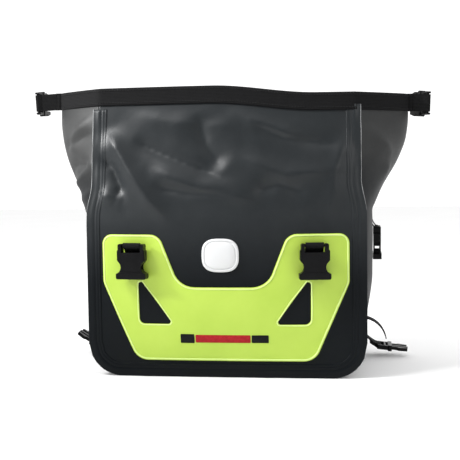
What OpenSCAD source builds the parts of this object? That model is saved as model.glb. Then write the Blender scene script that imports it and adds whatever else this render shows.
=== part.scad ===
// Roll-top waterproof tail bag, standing open and unrolled.
// The front faces -Y, +Z is up and the origin is on the floor under the middle of the bag.

/* [Bag body] */
// Half the width of the front panel, from its middle to the side weld
seam_half_w = 192; // [180:1:204]
// Half the depth of the bag, from its middle to the front weld
half_depth = 95; // [88:1:102]
// Height of the open mouth
mouth_h = 411; // [395:1:420]
// Height at which the upper part starts to fold inwards
neck_h = 253; // [244:1:256]
// Radius of the two bottom corners of the front and back panels
corner_r = 50; // [44:1:56]
// How far the filled front and back panels stand proud at their middle
bulge = 20; // [12:1:24]
// Thickness of the coated fabric
fabric_t = 2; // [1.6:0.1:2.4]
// Width of the welded flange round the front and back panels
flange_w = 8; // [6:0.5:10]

/* [Mouth] */
// Half the width of the mouth, from its middle to the side weld
mouth_half_w = 184; // [178:1:188]
// Half the distance between the two lips at the side welds
lip_half_gap = 66; // [60:1:72]
// How far the side gusset sticks out past the weld at the hem
wing_out = 80; // [70:1:86]
// How far the filled gusset stands out past the weld below the neck
side_bulge = 17; // [10:1:17]
// Height of the webbing that binds the mouth
hem_h = 25; // [20:1:30]

/* [Straps and buckles] */
// Width of all webbing
web_w = 25; // [20:1:26]
// Thickness of all webbing
web_t = 1.6; // [1.2:0.1:1.8]
// Width of a side-release buckle
buckle_w = 44; // [42:1:46]
// Length of the socket half of a buckle, from its bar to its mouth
socket_l = 47; // [44:1:50]
// Thickness of a buckle
buckle_t = 13; // [12:0.5:14]
// Distance of the front buckles from the middle of the bag
buckle_x = 126.5; // [120:0.5:134]
// Height of the bars that the front buckles hang from
buckle_z = 190; // [184:1:192]

/* [Front graphics] */
// Half the width of the lime patch
patch_half_w = 175; // [168:1:177]
// Height of the top of the patch's two arms
patch_top = 205; // [201:1:208]
// Height of the bottom of the patch
patch_bottom = 25; // [22:1:28]
// Width of the badge
badge_w = 52; // [44:1:56]

/* [Hidden] */
$fn = 48;
gap = 0.4;
columns = 15;
rows = 11;
hem_z = mouth_h - hem_h;
turn_up_z = corner_r + 2;
lip_z = neck_h + 4;
loop_r = 3.2;
bar_r = 2;
bar_end = 2.6;
tab_y = buckle_t / 2 + 3.1;
left_loop_l = 30;
right_loop_l = 21;
left_sag = 3;
right_sag = 2;
left_drop = 9;
right_drop = 22;
left_plug_turn = 92;
right_plug_turn = 118;
left_wing_start = neck_h - 38;
right_wing_start = neck_h - 18;
wing_full_z = mouth_h - 36;
left_tie_bar = [seam_half_w + 34, 10];
right_tie_bar = [seam_half_w + 28, 16];
left_tie_lift = 32;
right_tie_lift = -6;
print_w = 125;
print_h = 13;

fabric = [0.17, 0.18, 0.19];
fabric_light = [0.26, 0.27, 0.28];
black = [0.07, 0.07, 0.07];
lime = [0.84, 0.95, 0.38];

// ---- Shape of the bag ----

function clamp01(t) = max(0, min(1, t));
function smooth(t) = clamp01(t) * clamp01(t) * (3 - 2 * clamp01(t));

// Half width between the welds at height z.
function seam_x(z) = seam_half_w - (seam_half_w - mouth_half_w) * smooth((z - 195) / 60);

// Half depth at the welds at height z.
function seam_y(z) = half_depth - (half_depth - lip_half_gap) * clamp01((z - neck_h) / (mouth_h - neck_h));

// Half depth of the front or back panel at x and z.
function panel_y(x, z) =
  let (u = x / seam_x(z), t = clamp01(z / mouth_h))
  seam_y(z) + (1 - u * u) * (bulge * sin(180 * pow(t, 0.8)) + 9 * t);

// How far the gusset stands out past the welds at height z, when its wing starts to splay at height start.
function wing_x(z, start) =
  let (low = 6 + (side_bulge - 6) * smooth((z - turn_up_z) / 90))
  low + (wing_out - low) * sin(90 * clamp01((z - start) / (wing_full_z - start)));

// A point of the gusset: s runs from -1 at the front weld to 1 at the back weld, and out is along +X.
function wing_point(s, z, out, start) =
  let (p = 2.2 - smooth((z - neck_h) / (mouth_h - neck_h)))
  [seam_x(z) + out + wing_x(z, start) * (1 - pow(abs(s), p)), s * seam_y(z), z];

// ---- Ways of making solids ----

// Closed skin through a list of flat loops that all have the same number of points.
module skin(loops) {
  n = len(loops[0]);
  m = len(loops);
  polyhedron(
    points = [for (loop = loops) each loop],
    faces = concat(
      [[for (i = [n - 1:-1:0]) i]],
      [for (j = [0:m - 2], i = [0:n - 1])
        [j * n + i, j * n + (i + 1) % n, (j + 1) * n + (i + 1) % n, (j + 1) * n + i]],
      [[for (i = [0:n - 1]) (m - 1) * n + i]]
    )
  );
}

// The loop across a panel at x, between heights z0 and z1, from depth offset a to b outside the panel.
function panel_loop(x, z0, z1, a, b) = concat(
  [for (i = [0:rows]) let (z = z0 + (z1 - z0) * i / rows) [x, -panel_y(x, z) - b, z]],
  [for (i = [rows:-1:0]) let (z = z0 + (z1 - z0) * i / rows) [x, -panel_y(x, z) - a, z]]
);

// The part of the bulging front sheet that lies inside a flat outline, which is the child.
module panel_sheet(half_w, z0, z1, a, b) {
  intersection() {
    skin([for (j = [0:columns])
      let (x = (half_w + 1) * sin(90 * (2 * j / columns - 1)))
      panel_loop(x, z0 - 1, z1 + 1, a, b)]);
    upright(-200, -20) children();
  }
}

// A plain rectangle, centred on x = 0.
module band(half_w, z0, z1) {
  translate([-half_w, z0]) square([2 * half_w, z1 - z0]);
}

// A profile of [offset, height] points carried along the front lip.
module lip_profile(half_w, profile) {
  skin([for (j = [0:columns])
    let (x = half_w * (2 * j / columns - 1))
    [for (p = profile) [x, -panel_y(x, p[1]) - p[0], p[1]]]]);
}

// Gusset sheet between heights z0 and z1, from offset a to b outside the gusset.
module gusset_sheet(start, z0, z1, a, b, reach) {
  intersection() {
    skin([for (i = [rows:-1:0])
      let (z = z0 - 1 + (z1 - z0 + 2) * i / rows)
      concat(
        [for (j = [0:columns]) wing_point(reach * (2 * j / columns - 1), z, b, start)],
        [for (j = [columns:-1:0]) wing_point(reach * (2 * j / columns - 1), z, a, start)]
      )]);
    translate([0, -200, z0]) cube([400, 400, z1 - z0]);
  }
}

// Outline of the front panel with the middle of its lower edge at z0.
module panel_outline(half_w, r, z0, top) {
  polygon(concat(
    [[-half_w, top]],
    [for (a = [180:6:270]) [-half_w + r + r * cos(a), z0 + r + r * sin(a)]],
    [for (a = [270:6:360]) [half_w - r + r * cos(a), z0 + r + r * sin(a)]],
    [[half_w, top]]
  ));
}

// Stands a flat outline in the XZ plane and gives it a depth from y0 to y1.
module upright(y0, y1) {
  translate([0, y1, 0]) rotate([90, 0, 0]) linear_extrude(y1 - y0) children();
}

// Outline of a strip of thickness t along a path of flat points.
function direction(path, i) =
  let (a = path[max(0, i - 1)], b = path[min(len(path) - 1, i + 1)])
  (b - a) / norm(b - a);
function side_of(path, i, d) =
  let (v = direction(path, i))
  path[i] + d * [-v[1], v[0]];
function strip(path, t) = concat(
  [for (i = [0:len(path) - 1]) side_of(path, i, t / 2)],
  [for (i = [len(path) - 1:-1:0]) side_of(path, i, -t / 2)]
);

// Webbing that follows a path of [y, z] points, with its width along X.
module webbing(path) {
  translate([-web_w / 2, 0, 0])
    rotate([90, 0, 90])
      linear_extrude(web_w) polygon(strip(path, web_t));
}

// Points of an arc round a centre.
function arc(c, r, a0, a1, steps = 8) =
  [for (i = [0:steps]) let (a = a0 + (a1 - a0) * i / steps) c + r * [cos(a), sin(a)]];

module mirrored_left() {
  mirror([1, 0, 0]) children();
}

// ---- Buckles ----
// Each half has its webbing bar along X at the origin, and points along -Z.

// A box with rounded edges along Y.
module rounded_block(w, t, z0, z1, r) {
  upright(-t / 2, t / 2)
    hull()
      for (x = [-w / 2 + r, w / 2 - r], z = [z0 + r, z1 - r])
        translate([x, z]) circle(r);
}

// Socket half: hourglass body with a mouth, two finger windows and a webbing bar.
module socket() {
  waist_z = -socket_l * 0.64;
  slot_z = -9.5;
  difference() {
    union() {
      rounded_block(buckle_w - 6, buckle_t - 2, -socket_l, bar_end, 2.2);
      rounded_block(buckle_w, buckle_t, -socket_l, -socket_l + 10, 2.5);
      rounded_block(buckle_w - 3, buckle_t - 3, -22, slot_z + 4, 2.5);
    }
    // finger cut-outs
    for (x = [-1, 1])
      translate([x * (buckle_w / 2 + 2.5), 0, waist_z]) rotate([90, 0, 0]) cylinder(r = 9.5, h = 40, center = true);
    // webbing slot round the bar
    translate([-web_w / 2 - 1.5, -20, slot_z]) cube([web_w + 3, 40, bar_end - slot_z + 1]);
    // mouth for the plug
    translate([0, 0, -socket_l / 2 - 8]) cube([buckle_w - 13, 7, socket_l - 14], center = true);
    translate([0, 0, -socket_l + 4]) cube([buckle_w - 9, 7, 10], center = true);
    // thumb dish on the front face
    translate([0, -buckle_t / 2 - 28, waist_z + 2]) rotate([0, 90, 0]) cylinder(r = 29, h = 14, center = true);
  }
  webbing_bar();
}

// Round bar at the end of a buckle, which the webbing loops round.
module webbing_bar() {
  rotate([0, 90, 0]) cylinder(r = bar_r, h = web_w + 6, center = true);
}

// Plug half: frame with a bar and a ladder slot, a guide tongue and two sprung prongs.
module plug() {
  frame_z = -20;
  prong_z = -45;
  difference() {
    union() {
      rounded_block(buckle_w - 10, 7, frame_z + 2, bar_end, 2.2);
      rounded_block(buckle_w - 6, 9, frame_z, frame_z + 6, 2);
    }
    translate([-web_w / 2 - 1.5, -20, -8]) cube([web_w + 3, 40, bar_end + 9]);
    translate([0, 0, -12]) cube([web_w + 1, 40, 3.4], center = true);
  }
  webbing_bar();
  rounded_block(6, 4.5, prong_z, frame_z + 1, 2);
  for (side = [-1, 1]) {
    translate([side * 12.5, 0, 0]) rounded_block(4, 5, prong_z + 4, frame_z + 1, 1.8);
    translate([side * 12.5, 0, prong_z + 6])
      upright(-2.5, 2.5)
        polygon([[-2.2 * side, -5], [2.2 * side, -5], [5.5 * side, 6], [5.5 * side, 9], [1.5 * side, 11],
          [-2.2 * side, 8]]);
  }
}

// ---- Shell panels ----

module front_panel() {
  color(fabric)
    panel_sheet(seam_half_w, flange_w, neck_h - 1, -fabric_t, 0)
      panel_outline(seam_half_w - gap, corner_r - flange_w, flange_w, neck_h - 1);
}

module back_panel() {
  mirror([0, 1, 0]) front_panel();
}

module gusset(start) {
  color(fabric) gusset_sheet(start, turn_up_z + gap, neck_h - 1, 0, fabric_t, (half_depth - 3) / half_depth);
}

module right_gusset() {
  gusset(right_wing_start);
}

module left_gusset() {
  mirrored_left() gusset(left_wing_start);
}

// The bottom lies flat on the floor and turns up into the gussets.
module bottom_gusset() {
  color(fabric)
    upright(-half_depth + 3, half_depth - 3)
      difference() {
        panel_outline(seam_half_w + fabric_t, corner_r, 0, turn_up_z);
        panel_outline(seam_half_w, corner_r - fabric_t, fabric_t, turn_up_z + 1);
      }
}

module wing(start) {
  color(fabric_light) gusset_sheet(start, neck_h, hem_z - gap, 0, fabric_t, 0.97);
}

module right_wing() {
  wing(right_wing_start);
}

module left_wing() {
  mirrored_left() wing(left_wing_start);
}

// Webbing folded over the top of the gusset.
module wing_hem(start) {
  color(black) gusset_sheet(start, hem_z, mouth_h, -1.5, fabric_t + 1.5, 0.95);
}

module right_wing_hem() {
  wing_hem(right_wing_start);
}

module left_wing_hem() {
  mirrored_left() wing_hem(left_wing_start);
}

// Welded flange round the sides and bottom of a panel.
module seam_flange() {
  upright(-half_depth, -half_depth + 2.6)
    difference() {
      panel_outline(seam_half_w + flange_w, corner_r, 0, neck_h - 1);
      panel_outline(seam_half_w, corner_r - flange_w, flange_w, neck_h);
    }
}

module front_seam_flange() {
  color(black) seam_flange();
}

module back_seam_flange() {
  color(black) mirror([0, 1, 0]) seam_flange();
}

// Plastic board that keeps the bottom flat.
module base_board() {
  color([0.12, 0.12, 0.12])
    translate([0, 0, fabric_t + gap])
      linear_extrude(3)
        hull()
          for (x = [-1, 1], y = [-1, 1])
            translate([x * (seam_half_w - 62), y * (half_depth - 25)]) circle(15);
}

// Plastic board that stiffens the back panel from inside.
module back_board() {
  color([0.12, 0.12, 0.12])
    upright(half_depth - 6, half_depth - 3.5)
      hull()
        for (x = [-1, 1], z = [30, neck_h - 40])
          translate([x * (seam_half_w - 45), z]) circle(15);
}

// ---- Front graphics ----

// The patch is a wide U: two arms at the top, and sides that lean in to a narrower bottom.
module patch_outline() {
  shoulder = [103.5, patch_top - 19.5];
  shoulder_r = 19.5;
  valley = [40, patch_top - 42.5];
  valley_r = 31.5;
  waist_z = patch_top - 64;
  window_low = patch_bottom + 57;
  window_high = patch_bottom + 108;
  difference() {
    polygon(concat(
      arc([patch_half_w - 14, patch_top - 14], 14, 0, 90),
      arc(shoulder, shoulder_r, 90, 165),
      arc(valley, valley_r, -15, -90),
      arc([-valley[0], valley[1]], valley_r, -90, -165),
      arc([-shoulder[0], shoulder[1]], shoulder_r, 15, 90),
      arc([-patch_half_w + 14, patch_top - 14], 14, 90, 180),
      arc([-patch_half_w + 22, waist_z], 22, 180, 206),
      arc([-111, patch_bottom + 24], 24, 206, 270),
      arc([111, patch_bottom + 24], 24, 270, 334),
      arc([patch_half_w - 22, waist_z], 22, 334, 360)
    ));
    for (side = [-1, 1])
      polygon([
        for (p = concat(
          arc([118, window_high], 4, 0, 100),
          arc([80, window_low], 5, 140, 270),
          arc([115, window_low], 5, -90, 0)
        )) [side * p[0], p[1]]
      ]);
  }
}

module lime_patch() {
  color(lime) panel_sheet(patch_half_w, patch_bottom, patch_top, 0.3, 1.5) patch_outline();
}

// A plain domed badge with a shallow groove inside its edge.
module badge() {
  badge_z = 176;
  y = -panel_y(0, badge_z);
  color([0.95, 0.95, 0.96])
    translate([0, 0, badge_z])
      difference() {
        upright(y - 4.3, y - 0.3)
          hull() {
            circle(r = badge_w * 0.44);
            for (x = [-1, 1], z = [-1, 1])
              translate([x * badge_w * 0.31, z * badge_w * 0.26]) circle(r = badge_w * 0.19);
          }
        upright(y - 5, y - 3.8)
          difference() {
            circle(r = badge_w * 0.36);
            circle(r = badge_w * 0.345);
          }
      }
}

// Three plain printed bars: dark, red and dark.
module print_bars() {
  z0 = patch_bottom + 26;
  for (bar = [[-print_w / 2, 20], [-print_w / 2 + 21.5, 78], [-print_w / 2 + 101, 24]])
    color(bar[1] > 50 ? [0.7, 0.05, 0.1] : black)
      panel_sheet(print_w, z0, z0 + print_h, 1.7, 2.2)
        translate([bar[0], z0]) square([bar[1], print_h]);
}

// ---- Lips of the mouth ----

module front_lip_panel() {
  color(fabric)
    panel_sheet(mouth_half_w, lip_z, mouth_h - 2, -fabric_t, 0)
      band(mouth_half_w - 4, lip_z, mouth_h - 2);
}

// Webbing folded over the lip, open at the bottom.
module front_hem_band() {
  inner = -fabric_t - 2.2;
  color(black)
    difference() {
      lip_profile(mouth_half_w - 4, [
        [web_t, hem_z], [web_t, mouth_h], [inner - web_t, mouth_h], [inner - web_t, hem_z]
      ]);
      lip_profile(mouth_half_w - 3, [
        [0.2, hem_z - 1], [0.2, mouth_h - web_t], [inner, mouth_h - web_t], [inner, hem_z - 1]
      ]);
    }
}

// Plastic strip inside the hem, which the lip is rolled round.
module front_hem_stiffener() {
  color([0.15, 0.15, 0.15])
    lip_profile(mouth_half_w - 10, [
      [-fabric_t - 1.9, hem_z + 3], [-fabric_t - 0.3, hem_z + 3],
      [-fabric_t - 0.3, mouth_h - 2.5], [-fabric_t - 1.9, mouth_h - 2.5]
    ]);
}

module back_lip_panel() {
  mirror([0, 1, 0]) front_lip_panel();
}

module back_hem_band() {
  mirror([0, 1, 0]) front_hem_band();
}

module back_hem_stiffener() {
  mirror([0, 1, 0]) front_hem_stiffener();
}

// ---- Front buckles ----

// The buckle hangs parallel to the bulging panel, so it turns a little about Z.
front_surface = panel_y(buckle_x, buckle_z - 20) + 1.4;
front_turn = atan(2 * bulge * buckle_x / (seam_half_w * seam_half_w));
front_bar_out = tab_y + web_t / 2 + 0.5;

module at_front_bar() {
  translate([buckle_x, -front_surface, buckle_z])
    rotate([0, 0, front_turn])
      translate([0, -front_bar_out, 0]) children();
}

// Short webbing tab that is sewn flat on the patch and loops round the buckle's bar.
module right_front_tab() {
  color(black)
    at_front_bar()
      webbing(concat(
        [[tab_y, -46], [tab_y, -8]],
        arc([0, 0], loop_r, 20, 290, 14),
        [[tab_y - 2.2, -9], [tab_y - 2, -12], [tab_y - 2, -30]]
      ));
}

module left_front_tab() {
  mirrored_left() right_front_tab();
}

module right_front_socket() {
  color(black) at_front_bar() socket();
}

module left_front_socket() {
  mirrored_left() right_front_socket();
}

// ---- Buckles at the ends of the hem ----

hem_end_x = mouth_half_w + wing_out + 4.5;

// The end of the hem, its middle lower than the rim by drop, with the bar of a loop of this length at the origin.
module at_hem_bar(drop, sag, length) {
  translate([hem_end_x, 0, mouth_h - drop])
    rotate([0, sag, 0])
      translate([length, 0, 0]) children();
}

// The hem webbing runs on past the wing and loops round the plug's bar.
module hem_loop(drop, sag, length) {
  color(black)
    at_hem_bar(drop, sag, length)
      translate([0, 0, -web_w / 2])
        linear_extrude(web_w)
          polygon(strip(concat(
            [[-length, -1.1], [-7, -1.2]],
            arc([0, 0], loop_r, -125, 125, 10),
            [[-7, 1.2], [-length, 1.1]]
          ), web_t));
}

// A plug that swings round its bar, with its prongs turned from straight out by an angle.
module hem_plug(drop, sag, length, turn) {
  color(black)
    at_hem_bar(drop, sag, length)
      rotate([0, -90, turn]) plug();
}

module right_hem_loop() {
  hem_loop(right_drop, right_sag, right_loop_l);
}

module left_hem_loop() {
  mirrored_left() hem_loop(left_drop, left_sag, left_loop_l);
}

module right_hem_plug() {
  hem_plug(right_drop, right_sag, right_loop_l, right_plug_turn);
}

module left_hem_plug() {
  mirrored_left() hem_plug(left_drop, left_sag, left_loop_l, left_plug_turn);
}

// ---- Side straps ----

side_bar_z = 203;
side_y = 52;
side_out = seam_half_w + side_bulge + 8;

module at_side_bar() {
  translate([side_out, side_y, side_bar_z]) rotate([0, 0, 90]) children();
}

// Webbing sewn on the gusset up to a height above the bar, with a loop for the socket's bar.
// Distance from the bar to the middle of webbing that lies on the gusset, at height h above the bar.
function side_gap(h, start) =
  let (z = side_bar_z + h, s = (side_y - web_w / 2) / seam_y(z))
  side_out - wing_point(s, z, fabric_t, start)[0] - web_t / 2 - 0.3;

module side_tab(height, start) {
  color(black)
    at_side_bar()
      webbing(concat(
        [for (i = [0:4]) let (h = height + (10 - height) * i / 4) [side_gap(h, start), h]],
        arc([0, 0], loop_r, -20, -290, 14),
        [[side_gap(8, start) - 3.8, 8], [side_gap(15, start) - 2, 15], [side_gap(20, start) - 2, 20]]
      ));
}

module right_side_tab() {
  side_tab(30, right_wing_start);
}

module left_side_tab() {
  mirrored_left() side_tab(22, left_wing_start);
}

module right_side_socket() {
  color(black) at_side_bar() socket();
}

module left_side_socket() {
  mirrored_left() right_side_socket();
}

// ---- Closing straps on the back ----

closing_top = 240;
closing_bar_z = 62;
closing_y = panel_y(buckle_x, 170) + 9.8;

module at_closing_bar() {
  translate([buckle_x, closing_y, closing_bar_z]) children();
}

// Patch of webbing that is sewn on the back panel, and holds the top of the strap.
module right_strap_anchor() {
  color(black)
    translate([buckle_x - web_w / 2 - 2, closing_y - 7.2, closing_top - 22]) cube([web_w + 4, 2.2, 24]);
}

module left_strap_anchor() {
  mirrored_left() right_strap_anchor();
}

// Strap that comes over the rolled top. It hangs down the back with its tail folded up.
module right_closing_strap() {
  length = closing_top - closing_bar_z;
  color(black)
    at_closing_bar()
      webbing(concat(
        [[-3.6, length], [-3, length - 40], [-2.8, 30], [-3.2, 8]],
        arc([0, 0], loop_r, 180, 360, 8),
        [[3.2, 8], [2.6, 30], [3.4, 60], [7, 104]]
      ));
}

module left_closing_strap() {
  mirrored_left() right_closing_strap();
}

module right_closing_plug() {
  color(black) at_closing_bar() plug();
}

module left_closing_plug() {
  mirrored_left() right_closing_plug();
}

// ---- Lower tie-down straps ----

tie_y = half_depth - 17;
tie_x = seam_half_w + 6.8;

// Webbing that follows a path of [x, z] points, with its width along Y.
module cross_webbing(path) {
  color(black)
    translate([0, tie_y + web_w / 2, 0])
      rotate([90, 0, 0])
        linear_extrude(web_w) polygon(strip(path, web_t));
}

// Tab sewn on the corner of the gusset, with a loop for the plug's bar, which runs along Y at [x, z].
module tie_tab(bar) {
  cross_webbing(concat(
    [[tie_x, 65], [tie_x + 0.4, 45], [tie_x + 3.2, 30], bar + [-12, 9], bar + [-6, 5]],
    arc(bar, loop_r, 100, -150, 12),
    [bar + [-6.5, 1.2], bar + [-13.5, 5.6]]
  ));
}

module right_tie_tab() {
  tie_tab(right_tie_bar);
}

module left_tie_tab() {
  mirrored_left() tie_tab(left_tie_bar);
}

// A plug with its prongs raised from level by an angle.
module tie_plug(bar, lift) {
  color(black)
    translate([bar[0], tie_y, bar[1]])
      rotate([0, -90 - lift, 0]) rotate([0, 0, 90]) plug();
}

module right_tie_plug() {
  tie_plug(right_tie_bar, right_tie_lift);
}

module left_tie_plug() {
  mirrored_left() tie_plug(left_tie_bar, left_tie_lift);
}

// Tail of the tie-down that arcs from the gusset down to the plug.
module right_tie_strap() {
  cross_webbing(arc([seam_half_w, 21], 40, 10, 77, 12));
}

module left_tie_strap() {
  mirrored_left() right_tie_strap();
}

// ---- Nodes ----

front_panel();
back_panel();
left_gusset();
right_gusset();
bottom_gusset();
left_wing();
right_wing();
left_wing_hem();
right_wing_hem();
front_seam_flange();
back_seam_flange();
base_board();
back_board();
lime_patch();
badge();
print_bars();
front_lip_panel();
front_hem_band();
front_hem_stiffener();
back_lip_panel();
back_hem_band();
back_hem_stiffener();
left_front_tab();
right_front_tab();
left_front_socket();
right_front_socket();
left_hem_loop();
right_hem_loop();
left_hem_plug();
right_hem_plug();
left_side_tab();
right_side_tab();
left_side_socket();
right_side_socket();
left_strap_anchor();
right_strap_anchor();
left_closing_strap();
right_closing_strap();
left_closing_plug();
right_closing_plug();
left_tie_tab();
right_tie_tab();
left_tie_plug();
right_tie_plug();
left_tie_strap();
right_tie_strap();
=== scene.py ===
"""Looks of the roll-top tail bag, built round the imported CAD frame. Metres, front towards -Y, +Z up."""

import math

import bmesh
import bpy
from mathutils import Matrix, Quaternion, Vector, geometry, noise
from mathutils.bvhtree import BVHTree


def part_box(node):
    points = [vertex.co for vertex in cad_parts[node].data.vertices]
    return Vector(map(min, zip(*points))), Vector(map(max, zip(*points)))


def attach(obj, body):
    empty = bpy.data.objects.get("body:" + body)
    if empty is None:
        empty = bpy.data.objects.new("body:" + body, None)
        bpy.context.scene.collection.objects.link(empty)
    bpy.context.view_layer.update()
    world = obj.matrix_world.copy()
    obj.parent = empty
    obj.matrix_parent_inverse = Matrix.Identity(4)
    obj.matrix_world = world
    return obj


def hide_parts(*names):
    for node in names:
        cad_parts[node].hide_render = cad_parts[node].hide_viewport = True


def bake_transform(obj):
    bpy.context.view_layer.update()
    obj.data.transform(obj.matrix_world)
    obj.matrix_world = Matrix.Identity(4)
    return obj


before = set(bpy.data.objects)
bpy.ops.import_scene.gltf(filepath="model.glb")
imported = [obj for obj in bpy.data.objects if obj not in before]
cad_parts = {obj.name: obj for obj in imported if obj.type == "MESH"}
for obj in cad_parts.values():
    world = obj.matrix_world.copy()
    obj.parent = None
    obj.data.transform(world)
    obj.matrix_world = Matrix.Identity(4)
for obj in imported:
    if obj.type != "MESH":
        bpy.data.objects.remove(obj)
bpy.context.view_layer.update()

# ---- Driving sizes, read from the frame ----

flange_lo, flange_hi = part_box("front_seam_flange")
hem_lo, hem_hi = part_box("front_hem_band")
panel_lo, panel_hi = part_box("front_panel")
FLANGE = panel_lo.z
SEAM_W = flange_hi.x - FLANGE
DEPTH = -flange_lo.y
NECK = panel_hi.z + 0.001
TOP = hem_hi.z
HEM_Z = hem_lo.z
WEB = TOP - HEM_Z
MOUTH_W = hem_hi.x + 0.004
LIP_GAP = 0.066
BULGE = 0.020
WING_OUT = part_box("right_wing_hem")[1].x - MOUTH_W - 0.0035
CORNER = 0.050
TURN_UP = CORNER + 0.002
SIDE_BULGE = 0.017
WING_FULL_Z = TOP - 0.036
LEFT_WING_START = NECK - 0.038
RIGHT_WING_START = NECK - 0.018
MID_Z = 0.170
SOFT_NECK = 0.38

# ---- Camera ----

AZIMUTH = math.radians(7.3)
CAMERA_BACK = 1.410
CAMERA_UP = 0.293
CAMERA_ASIDE = -0.004
PITCH = math.radians(3.62)
ROLL = math.radians(0.75)
SENSOR = 36.0
LENS = 73.1


def make_camera():
    data = bpy.data.cameras.new("camera")
    data.sensor_width = SENSOR
    data.lens = LENS
    data.clip_end = 50
    obj = bpy.data.objects.new("camera", data)
    bpy.context.scene.collection.objects.link(obj)
    ahead = Vector((-math.sin(AZIMUTH), math.cos(AZIMUTH), 0))
    obj.location = -ahead * CAMERA_BACK + Vector((CAMERA_ASIDE, 0, CAMERA_UP))
    look = ahead * math.cos(PITCH) - Vector((0, 0, math.sin(PITCH)))
    obj.rotation_mode = "QUATERNION"
    obj.rotation_quaternion = Quaternion(look, ROLL) @ look.to_track_quat("-Z", "Y")
    bpy.context.scene.camera = obj


make_camera()

# ---- Node materials ----


class Nodes:
    """Small helper that adds and links shader nodes."""

    def __init__(self, name):
        self.material = bpy.data.materials.new(name)
        self.material.use_nodes = True
        self.tree = self.material.node_tree
        self.bsdf = self.tree.nodes["Principled BSDF"]

    def add(self, kind, inputs=None, **settings):
        node = self.tree.nodes.new(kind)
        for key, value in settings.items():
            setattr(node, key, value)
        for key, value in (inputs or {}).items():
            if hasattr(value, "is_linked") or hasattr(value, "links"):
                self.tree.links.new(value, node.inputs[key])
            else:
                node.inputs[key].default_value = value
        return node

    def math(self, operation, a, b=0.0):
        return self.add("ShaderNodeMath", {0: a, 1: b}, operation=operation).outputs[0]

    def coords(self):
        return self.add("ShaderNodeTexCoord").outputs["Object"]

    def noise(self, vector, scale, detail=3.0, roughness=0.5):
        node = self.add(
            "ShaderNodeTexNoise",
            {"Vector": vector, "Scale": scale, "Detail": detail, "Roughness": roughness},
        )
        return node.outputs["Fac"]

    def ramp(self, fac, stops):
        node = self.add("ShaderNodeValToRGB", {"Fac": fac})
        ramp = node.color_ramp
        while len(ramp.elements) < len(stops):
            ramp.elements.new(0.5)
        for element, (position, value) in zip(ramp.elements, stops):
            element.position = position
            element.color = (*value, 1) if len(value) == 3 else value
        return node.outputs["Color"]

    def spread(self, fac, low, high):
        """Maps a 0 to 1 value onto low to high."""
        node = self.add("ShaderNodeMapRange", {"Value": fac, "To Min": low, "To Max": high})
        return node.outputs["Result"]

    def bump(self, layers):
        """Stacks (height, strength, distance) layers into one normal."""
        normal = None
        for height, strength, distance in layers:
            inputs = {"Height": height, "Strength": strength, "Distance": distance}
            if normal is not None:
                inputs["Normal"] = normal
            normal = self.add("ShaderNodeBump", inputs).outputs["Normal"]
        self.tree.links.new(normal, self.bsdf.inputs["Normal"])

    def set(self, name, value):
        if hasattr(value, "is_linked"):
            self.tree.links.new(value, self.bsdf.inputs[name])
        else:
            self.bsdf.inputs[name].default_value = value


def grey(value):
    return (value, value, value)


def unrolled(n):
    """Object coordinates as (along the panel, height), so that the same threads run round the whole bag."""
    split = n.add("ShaderNodeSeparateXYZ", {"Vector": n.coords()})
    along = n.math("ADD", split.outputs["X"], split.outputs["Y"])
    return along, split.outputs["Z"]


def threads(n, value, pitch):
    """A 0 to 1 wave with one crest for each pitch."""
    phase = n.math("MULTIPLY", value, 2 * math.pi / pitch)
    return n.math("ADD", n.math("MULTIPLY", n.math("SINE", phase), 0.5), 0.5)


def tarpaulin(name, filled, crumpled, highlight_from, highlight_to, rough):
    """PVC-coated scrim: satin skin, faint weave, and a painted highlight that pales it between two heights,
    for the light falling on its upper part.
    """
    n = Nodes(name)
    place = n.coords()
    along, height = unrolled(n)
    cloud = n.noise(place, 9.0, 4.0, 0.6)
    fine = n.noise(place, 90.0, 3.0, 0.6)
    upper = n.spread(height, 0.0, 1.0)
    upper.node.inputs["From Min"].default_value = highlight_from
    upper.node.inputs["From Max"].default_value = highlight_to
    tone = n.math("ADD", n.math("MULTIPLY", cloud, 0.35), n.math("MULTIPLY", fine, 0.15))
    # Painted highlight: the colour pales upwards from the filled colour to the crumpled colour, for the light
    # falling on the upper part; the noise adds random tone.
    n.set("Base Color", n.ramp(n.math("ADD", n.math("MULTIPLY", upper, 0.6), tone),
                               [(0.15, filled), (0.45, tuple(c * 1.5 for c in filled)), (0.9, crumpled)]))
    n.set("Roughness", n.spread(n.noise(place, 22.0, 5.0, 0.65), rough - 0.08, rough + 0.08))
    n.set("Specular IOR Level", n.spread(upper, 0.09, 0.28))
    weave = n.math("MULTIPLY", threads(n, along, 0.0011), threads(n, height, 0.0011))
    bent = n.math("ABSOLUTE", n.math("SUBTRACT", n.noise(place, 6.0, 3.0, 0.5), 0.5))
    crease = n.math("MULTIPLY", bent, upper)
    crumple = n.noise(place, 34.0, 4.0, 0.55)
    n.bump([(crease, 0.3, 0.0080), (crumple, 0.25, 0.0011), (weave, 0.22, 0.00012),
            (n.noise(place, 900.0, 2.0), 0.15, 0.0001)])
    return n.material


def webbing_material(name, colour, highlight):
    """Woven polyester webbing: ribs across the strap with a chevron of fine threads."""
    n = Nodes(name)
    along, height = unrolled(n)
    place = n.coords()
    ribs = threads(n, height, 0.0021)
    cross = threads(n, along, 0.0015)
    twill = threads(n, n.math("ADD", along, height), 0.0017)
    mix = n.math("ADD", n.math("MULTIPLY", ribs, 0.5), n.math("MULTIPLY", twill, 0.5))
    fuzz = n.noise(place, 420.0, 3.0, 0.7)
    tone = n.math("ADD", n.math("MULTIPLY", fuzz, 0.5), n.math("MULTIPLY", mix, 0.5))
    n.set("Base Color", n.ramp(tone, [(0.2, colour), (0.85, highlight)]))
    n.set("Roughness", n.spread(fuzz, 0.62, 0.85))
    n.set("Specular IOR Level", 0.05)
    n.set("Sheen Weight", 0.02)
    n.set("Sheen Roughness", 0.5)
    n.bump([(mix, 0.6, 0.0005), (cross, 0.3, 0.0002), (fuzz, 0.3, 0.0002)])
    return n.material


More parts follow.
